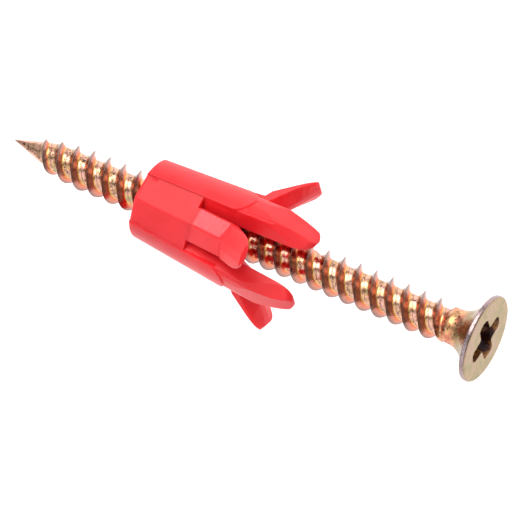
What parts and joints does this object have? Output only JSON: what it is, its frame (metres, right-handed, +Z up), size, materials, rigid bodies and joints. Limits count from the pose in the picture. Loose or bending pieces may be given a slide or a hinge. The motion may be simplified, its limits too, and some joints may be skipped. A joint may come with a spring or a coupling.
{
  "type": "plasterboard wall anchor with screw",
  "caption": "Plasterboard wall anchor: moulded sleeve with spring wings and straight legs on a countersunk twin-thread screw.",
  "frame": {"origin": "middle of the underside of the whole, lying with one wing upwards", "axes": "+X along the screw from its point to its head, +Z up through the top wing"},
  "size_m": [0.065, 0.0192, 0.0171],
  "materials": {
    "red_nylon": "injection-moulded nylon, satin, coral red, slightly translucent",
    "zinc_steel": "zinc plated and yellow passivated, iridescent pink and gold"
  },
  "bodies": {
    "sleeve": {"sleeve": "red_nylon"},
    "wing_top": {"wing_top": "red_nylon"},
    "wing_left": {"wing_left": "red_nylon"},
    "wing_right": {"wing_right": "red_nylon"},
    "leg_left": {"leg_left": "red_nylon"},
    "leg_bottom": {"leg_bottom": "red_nylon"},
    "leg_right": {"leg_right": "red_nylon"},
    "screw": {"screw": "zinc_steel"}
  },
  "joints": [
    {"name": "screw_drive", "type": "slide", "parent": "sleeve", "child": "screw", "axis": [1, 0, 0], "range_m": [-0.019, 0.017]},
    {"name": "wing_top_flex", "type": "hinge", "parent": "sleeve", "child": "wing_top", "pos_m": [-0.00341, 0.00025, 0.01106], "axis": [-0.0323, -0.9995, 0], "range_deg": [-8, 25], "stiffness_Nm_per_rad": 0.01},
    {"name": "wing_left_flex", "type": "hinge", "parent": "sleeve", "child": "wing_left", "pos_m": [-0.00328, 0.00406, 0.00446], "axis": [0.0161, 0.4997, 0.866], "range_deg": [-8, 25], "stiffness_Nm_per_rad": 0.01},
    {"name": "wing_right_flex", "type": "hinge", "parent": "sleeve", "child": "wing_right", "pos_m": [-0.00353, -0.00356, 0.00446], "axis": [0.0161, 0.4997, -0.866], "range_deg": [-8, 25], "stiffness_Nm_per_rad": 0.01},
    {"name": "leg_left_flex", "type": "hinge", "parent": "sleeve", "child": "leg_left", "pos_m": [-0.00328, 0.00406, 0.00886], "axis": [-0.0161, -0.4997, 0.866], "range_deg": [-2, 10], "stiffness_Nm_per_rad": 0.03},
    {"name": "leg_bottom_flex", "type": "hinge", "parent": "sleeve", "child": "leg_bottom", "pos_m": [-0.00341, 0.00025, 0.00226], "axis": [0.0323, 0.9995, 0], "range_deg": [-2, 10], "stiffness_Nm_per_rad": 0.03},
    {"name": "leg_right_flex", "type": "hinge", "parent": "sleeve", "child": "leg_right", "pos_m": [-0.00353, -0.00356, 0.00886], "axis": [-0.0161, -0.4997, -0.866], "range_deg": [-2, 10], "stiffness_Nm_per_rad": 0.03}
  ]
}
